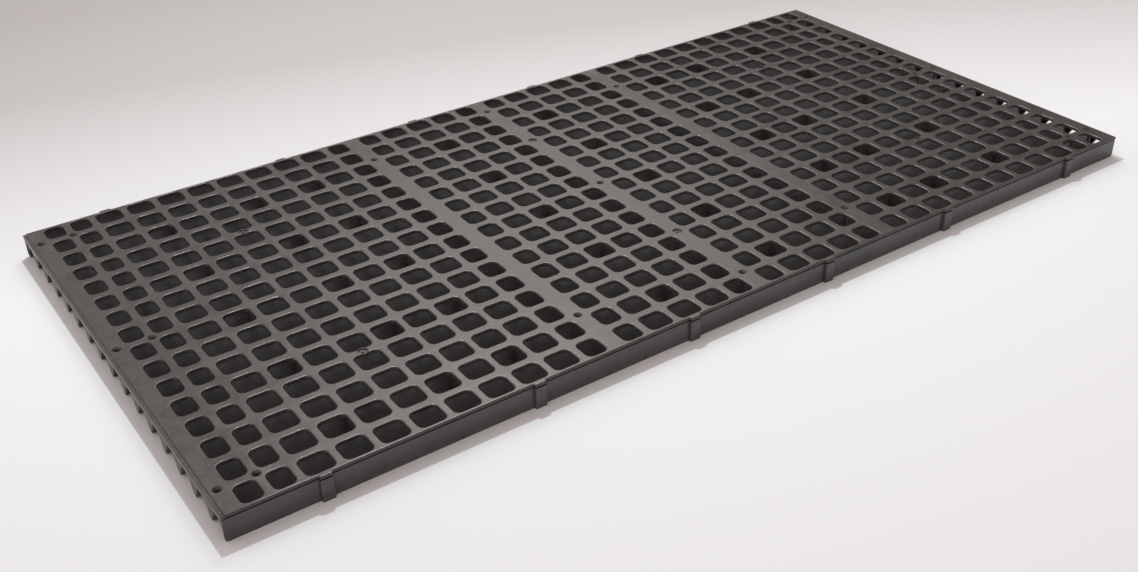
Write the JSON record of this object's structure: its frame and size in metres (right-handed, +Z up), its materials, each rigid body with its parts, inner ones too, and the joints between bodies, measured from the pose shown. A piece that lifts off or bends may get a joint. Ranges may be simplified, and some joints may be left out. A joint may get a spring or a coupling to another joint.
{
  "type": "plug tray panel",
  "caption": "Shallow open-grid greenhouse tray panel: a flat deck of square cells over long ribs, with solid crossbars, screw seats, side skirts and toothed open ends.",
  "frame": {"origin": "centre of the footprint on the resting plane", "axes": "+X along the panel's length, +Y across its width, +Z up out of the deck"},
  "size_m": [1.219, 0.602, 0.029],
  "materials": {
    "black_plastic": "satin moulded polypropylene, slightly brown-grey sheen"
  },
  "bodies": {
    "root": {"long_rib_01": "black_plastic", "long_rib_02": "black_plastic", "long_rib_03": "black_plastic", "long_rib_04": "black_plastic", "long_rib_05": "black_plastic", "long_rib_06": "black_plastic", "long_rib_07": "black_plastic", "long_rib_08": "black_plastic", "long_rib_09": "black_plastic", "long_rib_10": "black_plastic", "long_rib_11": "black_plastic", "long_rib_12": "black_plastic", "long_rib_13": "black_plastic", "long_rib_14": "black_plastic", "long_rib_15": "black_plastic", "centre_bar": "black_plastic", "cross_web_left_01": "black_plastic", "cross_web_left_02": "black_plastic", "cross_web_left_03": "black_plastic", "cross_web_left_04": "black_plastic", "left_bar": "black_plastic", "cross_web_left_05": "black_plastic", "cross_web_left_06": "black_plastic", "cross_web_left_07": "black_plastic", "cross_web_left_08": "black_plastic", "cross_web_left_09": "black_plastic", "cross_web_left_10": "black_plastic", "cross_web_left_11": "black_plastic", "cross_web_left_12": "black_plastic", "cross_web_left_13": "black_plastic", "cross_web_left_14": "black_plastic", "cross_web_right_01": "black_plastic", "cross_web_right_02": "black_plastic", "cross_web_right_03": "black_plastic", "cross_web_right_04": "black_plastic", "right_bar": "black_plastic", "cross_web_right_05": "black_plastic", "cross_web_right_06": "black_plastic", "cross_web_right_07": "black_plastic", "cross_web_right_08": "black_plastic", "cross_web_right_09": "black_plastic", "cross_web_right_10": "black_plastic", "cross_web_right_11": "black_plastic", "cross_web_right_12": "black_plastic", "cross_web_right_13": "black_plastic", "cross_web_right_14": "black_plastic", "end_plate_left": "black_plastic", "end_plate_right": "black_plastic", "side_skirt_front": "black_plastic", "side_skirt_back": "black_plastic"}
  },
  "joints": []
}
